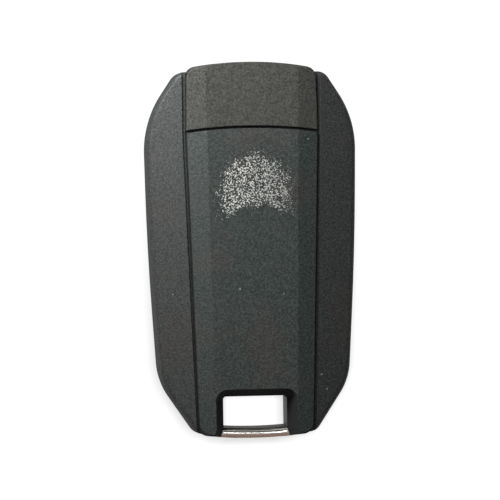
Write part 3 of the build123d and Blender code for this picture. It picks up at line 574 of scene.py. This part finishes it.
def raise_symbol(form, node):
    """Turn flat faces into a thin symbol standing in the middle of a button's outer face."""
    low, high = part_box(node)
    flat = list(form.faces)
    grown = bmesh.ops.extrude_face_region(form, geom=flat)["geom"]
    tops = [item for item in grown if isinstance(item, bmesh.types.BMVert)]
    bmesh.ops.translate(form, verts=tops, vec=(0, 0, SYMBOL_THICKNESS))
    bmesh.ops.rotate(form, verts=form.verts, matrix=Matrix.Rotation(pi, 3, "Y"))
    middle = (Vector(low) + Vector(high)) / 2
    bmesh.ops.translate(form, verts=form.verts, vec=(middle.x, middle.y, low[2]))


def padlock(form, lift):
    """A padlock: a body, and a shackle that is lifted when it is open."""
    left, right = -LOCK_WIDTH / 2, LOCK_WIDTH / 2
    face_outline(form, [(left, -LOCK_HEIGHT), (right, -LOCK_HEIGHT), (right, 0), (left, 0)])
    inner = SHACKLE_RADIUS - SYMBOL_LINE / 2
    outer = SHACKLE_RADIUS + SYMBOL_LINE / 2
    base = SHACKLE_LEG + lift
    for side in (-1, 1):
        foot = lift if side > 0 else 0
        near, far = side * inner, side * outer
        face_outline(form, [(near, foot), (far, foot), (far, base), (near, base)])
    rim = [form.verts.new((inner, base, 0)), form.verts.new((outer, base, 0))]
    edge = form.edges.new(rim)
    bmesh.ops.spin(
        form, geom=[*rim, edge], cent=(0, base, 0), axis=(0, 0, 1), angle=pi,
        steps=SHACKLE_STEPS, use_duplicate=False,
    )


def open_boot(form):
    """A car from the side with its boot lid up."""
    for outline in (CAR_BODY, BOOT_LID):
        face_outline(form, [(x * CAR_LENGTH / 2, y * CAR_HEIGHT) for x, y in outline])


def make_symbols():
    """Symbols printed on the three remote buttons, in flat white ink."""
    ink = plain_plastic("white_printing_ink", "#d8d8d4", "#c9c9c5", 0.5)
    for name in ("unlock", "boot", "lock"):
        form = bmesh.new()
        if name == "boot":
            open_boot(form)
        else:
            padlock(form, SHACKLE_LIFT if name == "unlock" else 0.0)
        raise_symbol(form, f"{name}_button")
        symbol = piece_from(form, f"{name}_symbol", ink, f"{name}_button")


def dress_case():
    """The finishes of the case, its covers, keys and plated trim."""
    # Moulded ABS, matt and nearly black, with painted shade on steep faces. The head cover is a
    # little warmer and duller. On the battery cover all but the top gets painted shade, so the funnel
    # round the key ring hole is painted dark.
    case = moulded_plastic(
        "moulded_abs_case", "#161a19", "#1d1a19", "#3d413f", "#131516", 0.56, steep=0.05, level=0.6
    )
    head = moulded_plastic(
        "moulded_abs_head", "#20201e", "#22211f", "#43443f", "#141414", 0.7, steep=0.05, level=0.6
    )
    cover = moulded_plastic(
        "moulded_abs_cover", "#141c1a", "#211e1d", "#3d4340", "#0b0c0e", 0.56, steep=0.75, level=0.96
    )
    scuff(cover, "#acada9", "#0e0f0e")
    dress(case, "rear_shell", "front_shell")
    dress(head, "head_cover")
    dress(cover, "battery_cover")

    # Polished acrylic mirrors deeply beside the keys' soft sheen
    dress(gloss_plastic("piano_black_acrylic", "#050506", 0.06, 0.1), "front_panel")
    keys = plain_plastic("satin_black_abs", "#101112", "#161718", 0.38)
    dress(keys, "unlock_button", "boot_button", "lock_button")

    # Polished chrome gives a sharp mirror, satin chrome a blurred one
    dress(chrome("polished_chrome_plate", "#d8d6d0", 0.1, "#4b4743"), "keyring_bar")
    dress(chrome("satin_chrome_plate", "#c4c4c4", 0.26), "release_button")


def dress_mechanism():
    """The finishes of the blade, of what turns it, and of the screws."""
    # Milled steel under nickel is warm and pale, glass-filled nylon a dull black, and rolled, drawn
    # or zinc-plated steel a mid grey
    dress(brushed_metal("milled_nickelled_steel", "#b8b4aa", "#938f86", 0.3), "key_blade")
    dress(plain_plastic("glass_filled_nylon", "#141415", "#1f2021", 0.5), "flip_hub")
    dress(brushed_metal("rolled_pin_steel", "#8d8d8d", "#6f6f70", 0.35), "blade_pin")
    dress(brushed_metal("drawn_spring_steel", "#77787a", "#57585a", 0.35), "flip_spring")
    dress(brushed_metal("zinc_plated_steel", "#7f8388", "#5f6368", 0.4), "case_screws")


def dress_electronics():
    """The finishes of the board, the cell and the mat over them."""
    # Moulded silicone and epoxy are matt, acetal has a waxy sheen
    mat = plain_plastic("silicone_rubber", "#3a3b3d", "#454648", 0.7, ior=1.41)
    dress(mat, "button_mat")
    chip = plain_plastic("epoxy_moulding_compound", "#17181a", "#212325", 0.6)
    dress(chip, "microcontroller")
    stems = plain_plastic("black_acetal", "#0e0e0f", "#161617", 0.4)
    dress(stems, "unlock_switch_stem", "boot_switch_stem", "lock_switch_stem")

    dress(circuit_laminate("fr4_green_solder_resist"), "circuit_board")
    dress(copper_winding("enamelled_copper_winding"), "transponder_coil")

    # Stamped and rolled sheet is bright, with faint lines. The contacts' brass shows warm through
    # its nickel.
    dress(brushed_metal("stamped_nickelled_can", "#b5b5b2", "#9a9a97", 0.3), "crystal")
    switches = brushed_metal("stamped_steel_switch", "#a9abad", "#8a8c8e", 0.35)
    dress(switches, "unlock_switch", "boot_switch", "lock_switch")
    can = brushed_metal("rolled_stainless_can", "#c2bfb8", "#a5a29b", 0.28, LINES_ACROSS)
    dress(can, "coin_cell")
    strip = brushed_metal("nickelled_brass_strip", "#c9b88d", "#a8976c", 0.3)
    dress(strip, "battery_contact_plus", "battery_contact_minus")


make_camera()
make_lights()
make_light_table()
dress_case()
dress_mechanism()
dress_electronics()
make_symbols()
